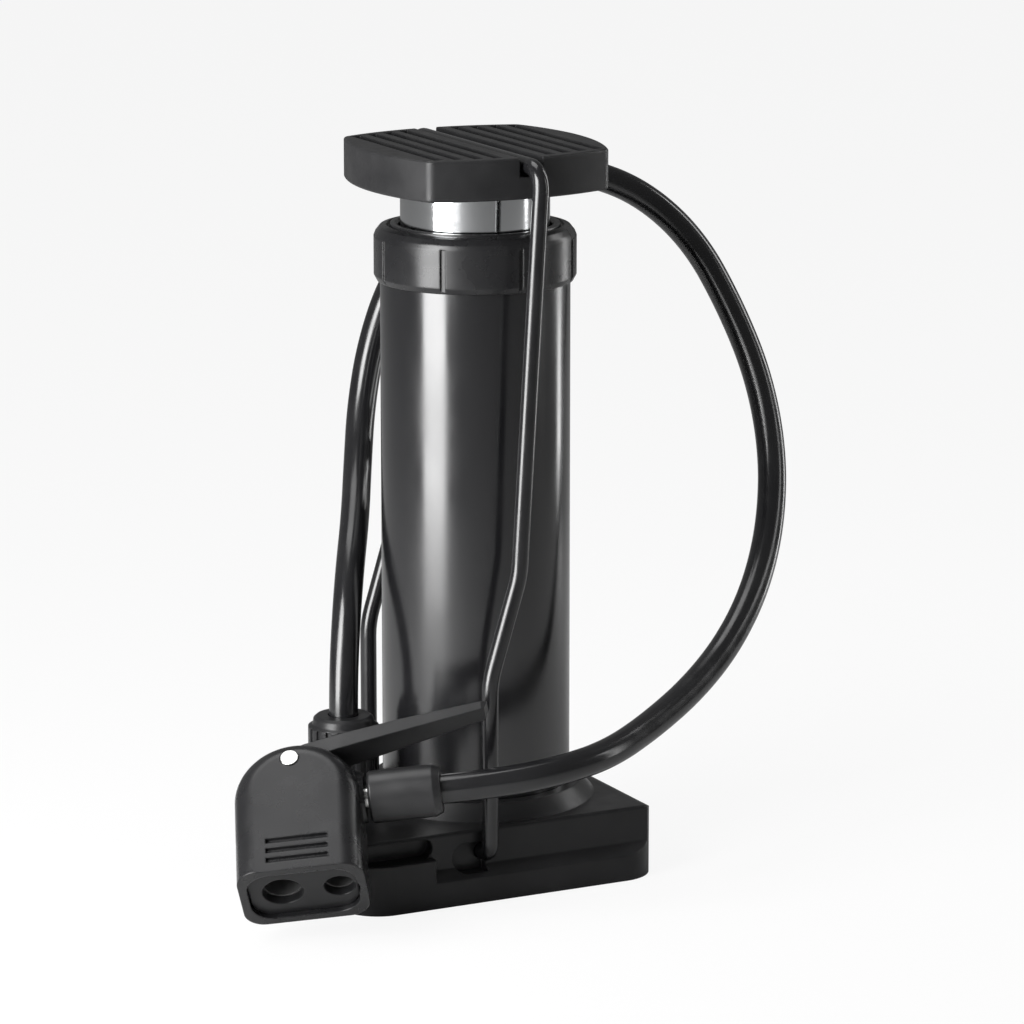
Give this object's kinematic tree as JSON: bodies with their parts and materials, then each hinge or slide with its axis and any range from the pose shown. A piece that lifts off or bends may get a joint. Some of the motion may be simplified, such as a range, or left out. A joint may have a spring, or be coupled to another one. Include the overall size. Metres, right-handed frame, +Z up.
{
  "type": "mini foot pump",
  "caption": "Compact foot-operated tyre pump with a square ribbed treadle held down by a wire bail, gloss barrel, looped hose and two-port lever valve head.",
  "frame": {"origin": "on the floor under the barrel's axis", "axes": "+Z up along the barrel, +X towards the base's plain end, -X towards the hose outlet, -Y towards the side where the valve head hangs"},
  "size_m": [0.157, 0.1031, 0.163],
  "materials": {
    "black_plastic": "fine satin moulding grain",
    "gloss_black": "gloss black coating",
    "chrome": "bright chrome plating",
    "rubber": "smooth gloss rubber",
    "seal_rubber": "soft matte rubber",
    "steel": "zinc plated steel",
    "grey_plastic": "smooth nylon"
  },
  "bodies": {
    "base": {"base_body": "black_plastic", "bottom_cover": "black_plastic", "cover_screws": "steel", "barrel": "gloss_black", "barrel_gasket": "seal_rubber", "collar_cap": "black_plastic", "guide_bush": "grey_plastic", "wiper_ring": "seal_rubber", "return_spring": "steel", "outlet_nipple": "steel", "check_spring": "steel", "hose_nut": "black_plastic", "hose": "rubber", "hose_ferrule": "grey_plastic", "head_nipple": "steel", "head_body": "black_plastic", "face_plate": "black_plastic", "schrader_seal": "seal_rubber", "presta_seal": "seal_rubber", "lever_pin": "steel"},
    "treadle": {"treadle": "black_plastic", "treadle_bolts": "steel", "sleeve_plug": "grey_plastic", "piston_sleeve": "chrome", "piston_head": "grey_plastic", "piston_rivets": "steel", "piston_seal": "seal_rubber"},
    "bail": {"bail_wire": "gloss_black"},
    "lever": {"lock_lever": "grey_plastic"},
    "plunger": {"head_plunger": "grey_plastic", "schrader_pusher": "steel", "presta_guide": "steel"},
    "ball": {"check_ball": "steel"}
  },
  "joints": [
    {"name": "treadle_press", "type": "slide", "parent": "base", "child": "treadle", "axis": [0, 0, 1], "range_m": [-0.0084, 0], "stiffness_N_per_m": 400, "springref_m": 0.01, "deforming": ["return_spring"]},
    {"name": "bail_swing", "type": "hinge", "parent": "base", "child": "bail", "pos_m": [-0.012, 0, 0.0105], "axis": [0, 1, 0], "range_deg": [-0.3, 0.3]},
    {"name": "lever_flip", "type": "hinge", "parent": "base", "child": "lever", "pos_m": [-0.05516, -0.0233, 0.03012], "axis": [-0.3727, -0.494, 0.7855], "range_deg": [0, 90]},
    {"name": "plunger_press", "type": "slide", "parent": "base", "child": "plunger", "axis": [-0.3091, -0.732, -0.6071], "range_m": [0, 0.002]},
    {"name": "check_valve", "type": "slide", "parent": "base", "child": "ball", "axis": [0, 0, 1], "range_m": [0, 0.001], "stiffness_N_per_m": 60, "deforming": ["check_spring"]}
  ],
  "couplings": [
    {"joint": "plunger_press", "follows": "lever_flip", "m_per_rad": 0.001273}
  ]
}
